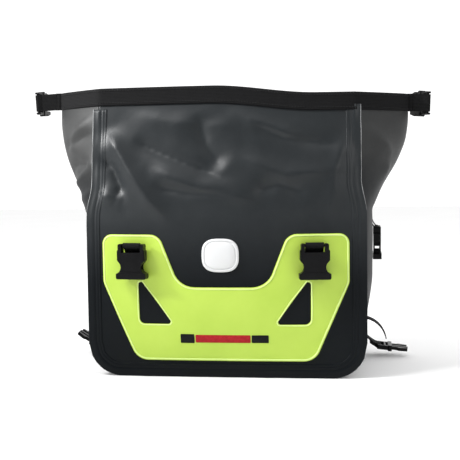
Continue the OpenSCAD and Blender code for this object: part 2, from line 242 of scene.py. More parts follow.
def moulded_plastic(name, colour, rough=0.42):
    """Injection-moulded acetal with a fine spark-eroded texture and slight scuffs."""
    n = Nodes(name)
    place = n.coords()
    grain = n.noise(place, 1500.0, 2.0, 0.6)
    scuff = n.noise(place, 60.0, 6.0, 0.75)
    light = tuple(min(0.8, c * 1.4 + 0.003) for c in colour)
    n.set("Base Color", n.ramp(scuff, [(0.35, colour), (0.8, light)]))
    n.set("Roughness", n.spread(scuff, rough - 0.08, rough + 0.10))
    n.set("Specular IOR Level", 0.13)
    n.bump([(grain, 0.25, 0.00008), (scuff, 0.1, 0.0003)])
    return n.material


def coated_film(name, low, high, rough=0.4):
    """Bright welded film: faint orange-peel skin over the weave below."""
    n = Nodes(name)
    place = n.coords()
    along, height = unrolled(n)
    cloud = n.noise(place, 14.0, 4.0, 0.6)
    n.set("Base Color", n.ramp(cloud, [(0.3, low), (0.75, high)]))
    n.set("Roughness", n.spread(n.noise(place, 40.0, 4.0, 0.6), rough - 0.08, rough + 0.12))
    n.set("Specular IOR Level", 0.4)
    weave = n.math("MULTIPLY", threads(n, along, 0.0011), threads(n, height, 0.0011))
    n.bump([(n.noise(place, 60.0, 4.0, 0.6), 0.25, 0.0008), (weave, 0.15, 0.0001)])
    return n.material


def printed_ink(name, colour):
    """Screen-printed ink, slightly glossy, worn thin in specks."""
    n = Nodes(name)
    place = n.coords()
    wear_and_highlight = n.noise(place, 240.0, 4.0, 0.7)
    faded = tuple(c * 1.6 + 0.004 for c in colour)
    n.set("Base Color", n.ramp(wear_and_highlight, [(0.45, colour), (0.85, faded)]))
    n.set("Roughness", n.spread(wear_and_highlight, 0.3, 0.5))
    n.set("Specular IOR Level", 0.12)
    n.bump([(wear_and_highlight, 0.15, 0.0001)])
    return n.material


# One fabric in two copies: the gusset copy is painted paler and pales at other heights, a painted highlight
# for the light falling on the wings.
FABRIC = tarpaulin("tarpaulin", (0.0040, 0.0052, 0.0064), (0.0158, 0.0186, 0.0206), 0.136, 0.232, 0.42)
FABRIC_SIDE = tarpaulin("tarpaulin_gusset", (0.0044, 0.0052, 0.0060), (0.0270, 0.0277, 0.0276),
                        0.240, 0.320, 0.48)
WEBBING = webbing_material("webbing", (0.0030, 0.0030, 0.0033), (0.0140, 0.0140, 0.0145))
PLASTIC = moulded_plastic("buckle_plastic", (0.0022, 0.0022, 0.0027), 0.30)
LIME = coated_film("lime_film", (0.415, 0.590, 0.064), (0.475, 0.650, 0.084))
# Painted highlight: the rim beads are painted paler than the patch, for the light caught along the edges.
LIME_RIM = coated_film("lime_rim", (0.620, 0.800, 0.230), (0.700, 0.860, 0.300), 0.34)
BADGE = coated_film("badge_plastic", (0.640, 0.645, 0.655), (0.690, 0.695, 0.700), 0.36)
INK_DARK = printed_ink("ink_dark", (0.004, 0.004, 0.0045))
INK_RED = printed_ink("ink_red", (0.330, 0.012, 0.018))
BOARD = moulded_plastic("board_plastic", (0.0160, 0.0160, 0.0170), 0.5)
THREAD = moulded_plastic("thread", (0.0110, 0.0110, 0.0115), 0.6)
# Painted highlight: pale strip for the flange edge where it catches the light.
EDGE_HIGHLIGHT = moulded_plastic("edge_highlight", (0.2600, 0.2650, 0.2700), 0.5)

# ---- Shape of the bag, the same rules as the CAD ----


def clamp01(t):
    return max(0.0, min(1.0, t))


def smooth(t):
    t = clamp01(t)
    return t * t * (3 - 2 * t)


def seam_x(z):
    return SEAM_W - (SEAM_W - MOUTH_W) * smooth((z - 0.228) / 0.050)


def lean(z):
    """How far the lip leans in, from 0 below the neck to 1 at the rim, with a soft bend at the neck."""
    t = (z - NECK) / (TOP - NECK)
    if abs(t) < SOFT_NECK:
        return (t + SOFT_NECK) ** 2 / (4 * SOFT_NECK)
    return max(0.0, t)


def seam_y(z):
    return DEPTH - (DEPTH - LIP_GAP) * lean(z)


def panel_y(x, z):
    u = x / seam_x(z)
    t = clamp01(z / TOP)
    return seam_y(z) + (1 - u * u) * (BULGE * math.sin(math.pi * t**0.8) + 0.009 * t)


def wing_x(z, start):
    low = 0.006 + (SIDE_BULGE - 0.006) * smooth((z - TURN_UP) / 0.090)
    return low + (WING_OUT - low) * math.sin(math.pi / 2 * clamp01((z - start) / (WING_FULL_Z - start)))


def wing_point(side, s, z):
    """A point of the gusset: side is -1 for left, and s runs from -1 at the front weld to 1 at the back."""
    power = 2.2 - smooth((z - NECK) / (TOP - NECK))
    start = LEFT_WING_START if side < 0 else RIGHT_WING_START
    return Vector((side * (seam_x(z) + wing_x(z, start) * (1 - abs(s) ** power)), s * seam_y(z), z))


def hem_wave(point):
    """How far the rim rises or sags at a point: the left part stands a little higher than the right."""
    rise = 0.003 - 0.0125 * smooth((point.x + 0.020) / 0.150)
    return rise * smooth((point.z - NECK) / (HEM_Z - NECK))


def low_edge(x):
    """Height of the panel's lower weld at x, with its round corners."""
    radius = CORNER - FLANGE
    d = max(0.0, abs(x) - (SEAM_W - radius))
    return FLANGE + radius - math.sqrt(max(0.0, radius * radius - d * d))


# ---- Mesh helpers ----


def new_object(name, vertices, faces, material, smooth_shading=True):
    mesh = bpy.data.meshes.new(name)
    mesh.from_pydata([tuple(v) for v in vertices], [], faces)
    mesh.validate()
    mesh.update()
    mesh.materials.append(material)
    obj = bpy.data.objects.new(name, mesh)
    bpy.context.scene.collection.objects.link(obj)
    fix_normals(mesh)
    for polygon in mesh.polygons:
        polygon.use_smooth = smooth_shading
    return obj


def fix_normals(mesh):
    work = bmesh.new()
    work.from_mesh(mesh)
    bmesh.ops.recalc_face_normals(work, faces=work.faces)
    work.to_mesh(mesh)
    work.free()


def bake_modifiers(obj):
    """Applies the object's modifiers to its mesh."""
    evaluated = obj.evaluated_get(bpy.context.evaluated_depsgraph_get())
    mesh = bpy.data.meshes.new_from_object(evaluated)
    obj.modifiers.clear()
    old = obj.data
    obj.data = mesh
    bpy.data.meshes.remove(old)


def add_bevel(obj, width, segments=2, angle=35):
    modifier = obj.modifiers.new("bevel", "BEVEL")
    modifier.width = width
    modifier.segments = segments
    modifier.limit_method = "ANGLE"
    modifier.angle_limit = math.radians(angle)
    modifier.use_clamp_overlap = True


def sweep(name, rings, material, closed=False):
    """Solid through a list of rings with the same number of points, capped at both ends unless closed."""
    count = len(rings[0])
    vertices = [p for ring in rings for p in ring]
    faces = []
    spans = len(rings) if closed else len(rings) - 1
    for j in range(spans):
        a, b = j * count, ((j + 1) % len(rings)) * count
        for i in range(count):
            k = (i + 1) % count
            faces.append((a + i, a + k, b + k, b + i))
    if not closed:
        faces.append(tuple(range(count)))
        faces.append(tuple((len(rings) - 1) * count + i for i in range(count)))
    return new_object(name, vertices, faces, material)


# ---- The welded shell: one grid round the whole bag ----

FRONT_COLUMNS = 84
GUSSET_COLUMNS = 14
ROWS = 84
HALF = GUSSET_COLUMNS


def shell_columns():
    """(region, parameter) of each column, going round from the front-left weld."""
    columns = [("front", 2 * i / FRONT_COLUMNS - 1) for i in range(FRONT_COLUMNS)]
    columns += [("right", i / HALF - 1) for i in range(2 * HALF)]
    columns += [("back", 1 - 2 * i / FRONT_COLUMNS) for i in range(FRONT_COLUMNS)]
    columns += [("left", 1 - i / HALF) for i in range(2 * HALF)]
    return columns


COLUMNS = shell_columns()
SEAMS = {
    "front_left": 0,
    "front_right": FRONT_COLUMNS,
    "right_crease": FRONT_COLUMNS + HALF,
    "back_right": FRONT_COLUMNS + 2 * HALF,
    "back_left": 2 * FRONT_COLUMNS + 2 * HALF,
    "left_crease": 2 * FRONT_COLUMNS + 3 * HALF,
}


def shell_point(region, p, v):
    if region in ("front", "back"):
        z0 = low_edge(p * SEAM_W)
        z = z0 + (TOP - z0) * v
        x = p * seam_x(z)
        y = panel_y(x, z)
        return Vector((x, -y if region == "front" else y, z))
    return wing_point(-1 if region == "left" else 1, p, TURN_UP + (TOP - TURN_UP) * v)


def ridge(point, line, width):
    """How strongly a point feels a fold along a line of points, from 0 to 1, fading at the line's ends."""
    best = 1e9
    fade = 1.0
    for i, (a, b) in enumerate(zip(line, line[1:])):
        hit, share = geometry.intersect_point_line(point, a, b)
        hit = a if share < 0 else b if share > 1 else hit
        if (point - hit).length < best:
            best = (point - hit).length
            progress = (i + clamp01(share)) / (len(line) - 1)
            fade = smooth(progress / 0.25) * smooth((1 - progress) / 0.25)
    return fade * math.exp(-((best / width) ** 1.15))


def flat(*pairs):
    return [Vector((x, z)) for x, z in pairs]


# (line in the (x, z) plane, width, height) of the folds of the upper front
FRONT_FOLDS = [
    (flat((-0.172, 0.356), (-0.154, 0.326), (-0.134, 0.294), (-0.104, 0.252), (-0.060, 0.206)),
     0.015, 0.0130),
    (flat((-0.182, 0.318), (-0.160, 0.298), (-0.148, 0.272), (-0.160, 0.240)), 0.007, -0.0080),
    (flat((-0.178, 0.262), (-0.164, 0.257), (-0.142, 0.256)), 0.010, 0.0064),
    (flat((-0.134, 0.338), (-0.086, 0.316), (0.020, 0.276)), 0.008, -0.0062),
    (flat((-0.104, 0.272), (-0.050, 0.264), (0.030, 0.258)), 0.007, -0.0050),
    (flat((-0.150, 0.384), (-0.070, 0.360), (0.030, 0.352)), 0.018, 0.0052),
    (flat((-0.110, 0.300), (-0.040, 0.270), (0.060, 0.250)), 0.014, 0.0060),
    (flat((0.000, 0.390), (0.040, 0.366), (0.124, 0.338)), 0.011, 0.0056),
    (flat((0.036, 0.362), (0.084, 0.344), (0.166, 0.332)), 0.008, -0.0050),
    (flat((-0.038, 0.378), (-0.026, 0.330), (0.004, 0.292)), 0.017, -0.0086),
    (flat((0.020, 0.316), (0.088, 0.288), (0.166, 0.296)), 0.016, 0.0058),
    (flat((0.040, 0.262), (0.078, 0.274), (0.122, 0.258)), 0.010, -0.0040),
    (flat((0.172, 0.352), (0.156, 0.290), (0.148, 0.210)), 0.014, 0.0056),
]
# the same for the wings, in the (y, z) plane
LEFT_FOLDS = [
    (flat((-0.070, 0.386), (-0.050, 0.350), (-0.030, 0.318)), 0.008, 0.0090),
    (flat((-0.072, 0.352), (-0.040, 0.334), (0.000, 0.330)), 0.006, -0.0090),
    (flat((-0.092, 0.322), (-0.066, 0.286), (-0.040, 0.268)), 0.009, 0.0092),
    (flat((-0.092, 0.270), (-0.066, 0.256), (-0.040, 0.250)), 0.008, 0.0050),
    (flat((-0.082, 0.300), (-0.050, 0.306), (-0.014, 0.296)), 0.007, -0.0080),
    (flat((0.070, 0.350), (0.030, 0.300), (0.016, 0.252)), 0.010, 0.0060),
]
RIGHT_FOLDS = [
    (flat((-0.074, 0.376), (-0.044, 0.326), (-0.028, 0.262)), 0.010, 0.0058),
    (flat((-0.060, 0.318), (-0.020, 0.300), (0.020, 0.306)), 0.008, -0.0046),
    (flat((0.066, 0.360), (0.028, 0.312), (0.008, 0.252)), 0.011, 0.0058),
]
BACK_FOLDS = [
    (flat((-0.180, 0.360), (-0.080, 0.318), (0.020, 0.296)), 0.014, 0.0040),
    (flat((0.190, 0.366), (0.120, 0.306), (0.086, 0.226)), 0.012, 0.0042),
    (flat((-0.150, 0.256), (-0.030, 0.246), (0.090, 0.262)), 0.012, -0.0034),
]


def fold_height(x, z, folds):
    point = Vector((x, z))
    return sum(height * ridge(point, line, width) for line, width, height in folds)


def swell(point):
    """Slow undulation of the fabric."""
    slow = noise.noise(Vector((point.x * 9.0, point.y * 9.0, point.z * 13.0)))
    return 0.0022 * slow + 0.0008 * noise.noise(point * 33.0 + Vector((5, 2, 9)))


def free_share(point):
    """How free the fabric is at a point: 0 at the hem and in the filled lower part, 1 in the upper part."""
    return smooth((point.z - 0.190) / 0.090) * smooth((HEM_Z - 0.002 - point.z) / 0.030)


def crease_share(point):
    """0 along the middle of a wing, where its long crease stays straight, 1 away from it."""
    return smooth((abs(point.y) - 0.010) / 0.040)


def outward(point, region):
    if region == "front":
        return Vector((0, -1, 0.1))
    if region == "back":
        return Vector((0, 1, 0.1))
    return Vector((math.copysign(1, point.x), 0, 0))


def crumpled(home, region):
    """A point of the shell with the fabric's folds and the sag of the rim."""
    free = free_share(home)
    push = swell(home) * (0.3 + 0.7 * free)
    if region == "front":
        push += free * fold_height(home.x, home.z, FRONT_FOLDS)
    elif region == "back":
        push += free * fold_height(home.x, home.z, BACK_FOLDS)
    elif region == "left":
        push += free * crease_share(home) * fold_height(home.y, home.z, LEFT_FOLDS)
    else:
        push += free * crease_share(home) * fold_height(home.y, home.z, RIGHT_FOLDS)
    return home + outward(home, region) * push + Vector((0, 0, hem_wave(home)))


def shell_shape():
    """Points of the crumpled shell as points[column][row], and the height of each before it was crumpled."""
    points = []
    heights = []
    for region, p in COLUMNS:
        homes = [shell_point(region, p, row / ROWS) for row in range(ROWS + 1)]
        points.append([crumpled(home, region) for home in homes])
        heights.append([home.z for home in homes])
    return points, heights


SHELL, HEIGHTS = shell_shape()
FABRIC_T = 0.0011


def fold_with_lip(obj):
    """Bakes the piece's transform into its mesh."""
    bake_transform(obj)


def patch_of_shell(name, first, last, material):
    """The columns first to last of the shell as a sheet with thickness."""
    total = len(COLUMNS)
    columns = [SHELL[c % total] for c in range(first, last + 1)]
    width = ROWS + 1
    vertices = [p for column in columns for p in column]
    faces = []
    for c in range(len(columns) - 1):
        for row in range(width - 1):
            a = c * width + row
            faces.append((a, a + width, a + width + 1, a + 1))
    obj = new_object(name, vertices, faces, material)
    orient_outwards(obj)
    subdivision = obj.modifiers.new("subdivision", "SUBSURF")
    subdivision.levels = subdivision.render_levels = 1
    subdivision.boundary_smooth = "PRESERVE_CORNERS"
    solid = obj.modifiers.new("thickness", "SOLIDIFY")
    solid.thickness = FABRIC_T
    solid.offset = -1
    bake_modifiers(obj)
    return obj


def orient_outwards(obj):
    """Turns the faces of an open sheet away from the middle of the bag."""
    mesh = obj.data
    middle = Vector((0, 0, MID_Z))
    outward_sum = sum(p.normal.dot((p.center - middle)) * p.area for p in mesh.polygons)
    if outward_sum < 0:
        mesh.flip_normals()


def shell_pieces():
    s = SEAMS
    total = len(COLUMNS)
    front = patch_of_shell("front_shell", s["front_left"], s["front_right"], FABRIC)
    right_front = patch_of_shell("right_gusset_front", s["front_right"], s["right_crease"], FABRIC_SIDE)
    right_back = patch_of_shell("right_gusset_back", s["right_crease"], s["back_right"], FABRIC_SIDE)
    back = patch_of_shell("back_shell", s["back_right"], s["back_left"], FABRIC)
    left_back = patch_of_shell("left_gusset_back", s["back_left"], s["left_crease"], FABRIC_SIDE)
    left_front = patch_of_shell("left_gusset_front", s["left_crease"], total, FABRIC_SIDE)
    front_pieces = [(obj, -1) for obj in (front, right_front, left_front)]
    back_pieces = [(obj, 1) for obj in (back, right_back, left_back)]
    for obj, side in front_pieces + back_pieces:
        fold_with_lip(obj)
    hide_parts("front_panel", "front_lip_panel")
    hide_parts("back_panel", "back_lip_panel")
    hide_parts("right_wing")
    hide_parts("right_gusset")
    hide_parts("left_wing")
    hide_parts("left_gusset")
    return {-1: surface_tree(front), 1: surface_tree(back)}


def surface_tree(obj):
    mesh = obj.data
    points = [v.co.copy() for v in mesh.vertices]
    return BVHTree.FromPolygons(points, [tuple(p.vertices) for p in mesh.polygons])


PANELS = shell_pieces()


def on_panel(side, x, z, lift):
    """The point a given height off the front (-1) or back (1) panel at x and z, or None outside it."""
    hit, normal, _, _ = PANELS[side].ray_cast(Vector((x, side * 0.5, z)), Vector((0, -side, 0)))
    if hit is None:
        return None
    return hit + normal * (lift if normal.y * side > 0 else -lift)


def bottom_piece():
    """The gusset's bottom run: flat on the floor, turned up at both ends, sagging between the welds."""
    across = 14
    radius = CORNER
    inner = SEAM_W + 0.0005
    profile = []
    for i in range(11):
        angle = math.pi + i / 10 * math.pi / 2
        profile.append((-inner + radius + radius * math.cos(angle), radius + radius * math.sin(angle)))
    straight = 24
    left_x, right_x = profile[-1][0], -profile[-1][0]
    profile += [(left_x + (right_x - left_x) * i / straight, 0.0) for i in range(1, straight)]
    profile += [(-x, z) for x, z in reversed(profile[:11])]
    vertices = []
    for x, z in profile:
        for j in range(across + 1):
            s = 2 * j / across - 1
            side = math.copysign(1, x) * 0.006 * (1 - abs(s) ** 2.2) * smooth(z / CORNER)
            lift = 0.0030 * abs(s) ** 5 * (1 - smooth(z / 0.03))
            vertices.append((x + side, s * (DEPTH - 0.0005), z + lift + FABRIC_T * (1 - smooth(z / 0.04))))
    width = across + 1
    faces = [
        (a * width + b, (a + 1) * width + b, (a + 1) * width + b + 1, a * width + b + 1)
        for a in range(len(profile) - 1)
        for b in range(across)
    ]
    obj = new_object("bottom_shell", vertices, faces, FABRIC)
    orient_outwards(obj)
    solid = obj.modifiers.new("thickness", "SOLIDIFY")
    solid.thickness = FABRIC_T
    solid.offset = 1
    bake_modifiers(obj)
    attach(obj, "bag")
    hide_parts("bottom_gusset")


bottom_piece()

# ---- Welded flanges ----


def seam_path(left, right):
    """Points down one weld, along the bottom of the panel and up the other weld."""
    first, last = SHELL[left], SHELL[right]
    step = 1 if right > left else -1
    bottom = [SHELL[c][0] for c in range(left + step, right, step)]
    return list(reversed(first)) + bottom + list(last)


def flange(name, left, right, side, node):
    """Flat lip along the weld, with a raised bead on the weld and two pressed lines beside it."""
    path = [p for p in seam_path(left, right) if p.z < HEM_Z]
    # (distance out from the weld, height off the panel) of the flange's section
    front_face = [
        (-0.0125, 0.0002), (-0.0120, 0.0009), (-0.0100, 0.0011), (-0.0092, 0.0006), (-0.0084, 0.0012),
        (-0.0052, 0.0012), (-0.0044, 0.0006), (-0.0036, 0.0013), (-0.0012, 0.0018), (0.0010, 0.0020),
        (0.0022, 0.0008), (0.0064, 0.0008), (0.0078, 0.0003),
    ]
    back_face = [(0.0078, -0.0009), (0.0030, -0.0014), (-0.0125, -0.0006)]
    rings = []
    edges = []
    for i, p in enumerate(path):
        ahead = path[min(len(path) - 1, i + 1)] - path[max(0, i - 1)]
        ahead.normalize()
        normal = Vector((0, side, 0))
        normal = (normal - ahead * normal.dot(ahead)).normalized()
        out = ahead.cross(normal).normalized()
        if out.dot(Vector((p.x, 0, p.z - MID_Z))) < 0:
            out = -out
        wave = 0.0009 * noise.noise(p * 40.0) + 0.0014 * noise.noise(p * 17.0) * free_share(p)
        pressed = 1 - 0.55 * free_share(p)
        ring = []
        for a, b in [(a, b * pressed) for a, b in front_face] + back_face:
            base = p + out * a
            lying = on_panel(side, base.x, base.z, 0) if a < -0.002 else None
            if lying is not None and abs(lying.y - p.y) < 0.012:
                base.y = lying.y
            ring.append(base + normal * (b + (wave if a > 0.002 else 0)))
        rings.append(ring)
        edges.append(p + out * 0.0080 + normal * (wave + 0.0003))
    obj = sweep(name, rings, FABRIC)
    fold_with_lip(obj)
    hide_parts(node)
    return edges


def edge_highlight(name, edges):
    """A pale strip along the flange of the upper part: a painted highlight where the flange's outer edge
    catches the light.
    """
    left = [p for p in edges if p.x < 0]
    right = [p for p in edges if p.x > 0]
    # The painted highlight is wider on the left, where the key light falls, and its width wavers along the
    # edge.
    for end, points, width in (("left", left, 0.00065), ("right", right, 0.00030)):
        high = [p for p in points if p.z > NECK - 0.020]
        rings = []
        for i, p in enumerate(high):
            ahead = (high[min(len(high) - 1, i + 1)] - high[max(0, i - 1)]).normalized()
            across = ahead.cross(Vector((0, 1, 0))).normalized()
            depth = ahead.cross(across)
            wear_and_highlight = 0.6 + 0.5 * noise.noise(p * 60.0)
            radius = width * wear_and_highlight * smooth((p.z - NECK + 0.020) / 0.02) + 0.0001
            rings.append([p + (across * math.cos(a) + depth * math.sin(a)) * radius
                          for a in (2 * math.pi * k / 8 for k in range(8))])
        obj = sweep(f"{name}_{end}", rings, EDGE_HIGHLIGHT)
        fold_with_lip(obj)


FRONT_EDGES = flange("front_flange", SEAMS["front_left"], SEAMS["front_right"], -1, "front_seam_flange")
BACK_EDGES = flange("back_flange", SEAMS["back_right"], SEAMS["back_left"], 1, "back_seam_flange")
edge_highlight("front_edge_highlight", FRONT_EDGES)
edge_highlight("back_edge_highlight", BACK_EDGES)

# ---- Hem ----


def hem_line(side):
    """Column numbers along one lip, from the left crease to the right crease."""
    s = SEAMS
    total = len(COLUMNS)
    if side < 0:
        return [c % total for c in range(s["left_crease"], total + s["right_crease"] + 1)]
    return list(range(s["left_crease"], s["right_crease"] - 1, -1))


def point_at_height(column, z):
    """The shell's point on a column that was at height z before settling, which may be just above the rim."""
    heights = HEIGHTS[column]
    row = next((i for i in range(ROWS) if heights[i + 1] >= z), ROWS - 1)
    share = (z - heights[row]) / (heights[row + 1] - heights[row])
    return SHELL[column][row].lerp(SHELL[column][row + 1], share)


def rim_rings(line, side, section):
    """Rings along the rim through these columns. The section's points are (offset outwards, height)."""
    rings = []
    for i, column in enumerate(line):
        a = point_at_height(line[max(0, i - 1)], HEM_Z + 0.012)
        b = point_at_height(line[min(len(line) - 1, i + 1)], HEM_Z + 0.012)
        normal = (b - a).cross(Vector((0, 0, 1))).normalized()
        if normal.y * side < 0:
            normal = -normal
        thick = 0.55 + 0.45 * smooth(min(i, len(line) - 1 - i) / 7)
        rings.append([point_at_height(column, HEM_Z + height) + normal * offset * thick
                      for offset, height in section])
    return rings


def stiffener(name, side, node):
    """Plastic strip inside the hem of one lip."""
    s = SEAMS
    ends = (s["front_left"], s["front_right"]) if side < 0 else (s["back_right"], s["back_left"])
    line = list(range(ends[0] + 2, ends[1] - 1))
    section = [(-0.0040, 0.0030), (-0.0024, 0.0030), (-0.0024, WEB - 0.0035), (-0.0040, WEB - 0.0035)]
    obj = sweep(name, rim_rings(line, side, section), BOARD)
    fold_with_lip(obj)
    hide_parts(node)


def hem(name, side, nodes):
    """Webbing folded over the lip, with slightly raised woven edges."""
    line = hem_line(side)
    # (offset outwards, height from the hem's lower edge)
    section = [
        (0.0004, 0.0000), (0.0019, 0.0004), (0.0022, 0.0020), (0.0018, 0.0036), (0.0018, 0.0120),
        (0.0019, 0.0205), (0.0018, 0.0236), (0.0006, WEB + 0.0004), (-0.0022, WEB + 0.0009),
        (-0.0048, WEB + 0.0003), (-0.0062, 0.0232), (-0.0062, 0.0120), (-0.0064, 0.0016),
        (-0.0056, 0.0002), (-0.0044, 0.0008),
    ]
    rings = rim_rings(line, side, section)
    reach = Vector((0.0088, 0, 0))
    rings = [[p - reach for p in rings[0]]] + rings + [[p + reach for p in rings[-1]]]
    obj = sweep(name, rings, WEBBING)
    fold_with_lip(obj)
    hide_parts(*nodes)
    return rings


def stitches(name, points, normals, pitch, length, thickness, material=THREAD):
    """A row of short raised stitches along a line of points."""
    vertices = []
    faces = []
    travelled = 0.0
    next_at = pitch / 2
    for i in range(len(points) - 1):
        a, b = points[i], points[i + 1]
        span = (b - a).length
        while next_at <= travelled + span and span > 1e-9:
            centre = a.lerp(b, (next_at - travelled) / span)
            along = (b - a).normalized()
            up = normals[i].normalized()
            cross = along.cross(up).normalized()
            base = len(vertices)
            for end in (-1, 1):
                middle = centre + along * end * length / 2
                vertices += [middle - cross * thickness * 0.3 - up * thickness * 0.3,
                             middle + cross * thickness * 0.3 - up * thickness * 0.3]
            for offset in (-1, 1):
                middle = centre + along * offset * length * 0.28 + up * thickness * 0.7
                vertices += [middle - cross * thickness * 0.5, middle + cross * thickness * 0.5]
            low = [base, base + 1, base + 3, base + 2]
            top = [base + 4, base + 5, base + 7, base + 6]
            faces += [tuple(reversed(low)), tuple(top)]
            for j in range(4):
                k = (j + 1) % 4
                faces.append((low[j], low[k], top[k], top[j]))
            next_at += pitch
        travelled += span
    return new_object(name, vertices, faces, material)


def hem_stitching(name, rings, side, index_a, index_b, share):
    """Stitch row on the outside of the hem, between two corners of its section."""
    points = [ring[index_a].lerp(ring[index_b], share) for ring in rings]
    normals = []
    for i in range(len(points)):
        along = points[min(i + 1, len(points) - 1)] - points[max(0, i - 1)]
        normal = along.cross(Vector((0, 0, 1))).normalized()
        normals.append(normal if normal.y * side > 0 else -normal)
    obj = stitches(name, points, normals, 0.0040, 0.0031, 0.0009)
    fold_with_lip(obj)


for hem_name, hem_side, hem_nodes in (
    ("front_hem", -1, ("front_hem_band", "left_wing_hem")),
    ("back_hem", 1, ("back_hem_band", "right_wing_hem")),
):
    hem_rings = hem(hem_name, hem_side, hem_nodes)
    hem_stitching(hem_name + "_stitches_low", hem_rings, hem_side, 3, 4, 0.05)
    hem_stitching(hem_name + "_stitches_high", hem_rings, hem_side, 5, 6, 0.4)
    stiffener(hem_name + "_strip", hem_side, hem_name + "_stiffener")

# ---- Graphics that follow the front panel ----


def on_front(x, z, lift):
    return on_panel(-1, x, z, lift)


def arc(centre_x, centre_z, radius, start, end, steps=7):
    points = []
    for i in range(steps + 1):
        angle = math.radians(start + (end - start) * i / steps)
        points.append(Vector((centre_x + radius * math.cos(angle), centre_z + radius * math.sin(angle))))
    return points


patch_lo, patch_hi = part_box("lime_patch")
PATCH_W = patch_hi.x
PATCH_TOP = patch_hi.z
PATCH_LOW = patch_lo.z


def patch_outline():
    """Right half of the patch from its top middle, then mirrored: two arms, a valley and leaning sides."""
    half = arc(0.040, PATCH_TOP - 0.0425, 0.0315, -90, -15)
    half += arc(0.1035, PATCH_TOP - 0.0195, 0.0195, 165, 90)
    half += arc(PATCH_W - 0.014, PATCH_TOP - 0.014, 0.014, 90, 0)
    half += arc(PATCH_W - 0.022, PATCH_TOP - 0.064, 0.022, 0, -26)
    half += arc(0.111, PATCH_LOW + 0.024, 0.024, -26, -90)
    return half + [Vector((-p.x, p.y)) for p in reversed(half)]


def triangle_hole(side):
    corner = arc(0.1175, PATCH_LOW + 0.1085, 0.0045, 0, 115, 5)
    corner += arc(0.080, PATCH_LOW + 0.057, 0.004, 140, 270, 6)
    corner += arc(0.1135, PATCH_LOW + 0.061, 0.008, -90, 0, 6)
    return [Vector((side * p.x, p.y)) for p in corner]


def resampled(loop, step):
    """The closed loop again, with points at most step apart."""
    points = []
    for a, b in zip(loop, loop[1:] + loop[:1]):
        pieces = max(1, math.ceil((b - a).length / step))
        points += [a.lerp(b, i / pieces) for i in range(pieces)]
    return points


def inside(point, loop):
    hit = False
    for a, b in zip(loop, loop[1:] + loop[:1]):
        if (a.y > point.y) != (b.y > point.y):
            if point.x < (b.x - a.x) * (point.y - a.y) / (b.y - a.y) + a.x:
                hit = not hit
    return hit


def near_loop(point, loop, distance):
    return any((point - p).length < distance for p in loop)


def filled(loops, spacing):
    """Triangles that fill the first loop apart from the other loops: points, triangles, loops of indices."""
    points = []
    edges = []
    rings = []
    for loop in loops:
        base = len(points)
        points += loop
        rings.append(list(range(base, base + len(loop))))
        edges += [(base + i, base + (i + 1) % len(loop)) for i in range(len(loop))]
    xs = [p.x for p in loops[0]]
    zs = [p.y for p in loops[0]]
    row = 0
    z = min(zs) + spacing / 2
    while z < max(zs):
        x = min(xs) + (spacing / 2 if row % 2 else spacing)
        while x < max(xs):
            p = Vector((x, z))
            free = inside(p, loops[0]) and not any(inside(p, hole) for hole in loops[1:])
            if free and not any(near_loop(p, loop, spacing * 0.6) for loop in loops):
                points.append(p)
            x += spacing
        z += spacing * 0.87
        row += 1
    out_points, _, out_faces, _, _, _ = geometry.delaunay_2d_cdt(points, edges, [], 1, 1e-7)
    faces = []
    for face in out_faces:
        middle = sum((out_points[i] for i in face), Vector((0, 0))) / len(face)
        if inside(middle, loops[0]) and not any(inside(middle, hole) for hole in loops[1:]):
            faces.append(face)
    return out_points, faces


def conformed_plate(name, loops, spacing, low, high, material):
    """A thin plate with this outline that lies on the front panel between two heights."""
    points, faces = filled(loops, spacing)
    used = sorted({i for face in faces for i in face})
    renumber = {old: new for new, old in enumerate(used)}
    points = [points[i] for i in used]
    faces = [tuple(renumber[i] for i in face) for face in faces]
    count = len(points)
    vertices = [on_front(p.x, p.y, high) for p in points] + [on_front(p.x, p.y, low) for p in points]
    edge_use = {}
    for face in faces:
        for a, b in zip(face, face[1:] + face[:1]):
            key = (min(a, b), max(a, b))
            edge_use.setdefault(key, []).append((a, b))
    solid = list(faces) + [tuple(count + i for i in reversed(face)) for face in faces]
    for uses in edge_use.values():
        if len(uses) == 1:
            a, b = uses[0]
            solid.append((b, a, a + count, b + count))
    obj = new_object(name, vertices, solid, material)
    add_bevel(obj, 0.0003, 2, 50)
    bake_modifiers(obj)
    return obj


def inset_loop(loop, distance):
    """The closed loop moved inwards by a distance."""
    out = []
    for i, p in enumerate(loop):
        before = loop[i - 1]
        after = loop[(i + 1) % len(loop)]
        along = (after - before).normalized()
        left = Vector((-along.y, along.x))
        candidate = p + left * distance
        out.append(candidate if inside(candidate, loop) else p - left * distance)
    return out


def bead(loop, name, half_width, height, base, material):
    """A low rounded bead along a closed line on the front panel."""
    rings = []
    profile = [(-1, 0.0), (-0.7, 0.65), (0, 1.0), (0.7, 0.65), (1, 0.0), (0.6, -0.35), (-0.6, -0.35)]
    for i, p in enumerate(loop):
        along = (loop[(i + 1) % len(loop)] - loop[i - 1]).normalized()
        cross = Vector((-along.y, along.x)) * half_width
        places = [(p + cross * a, base + b * height) for a, b in profile]
        rings.append([on_front(place.x, place.y, lift) for place, lift in places])
    return sweep(name, rings, material, closed=True)


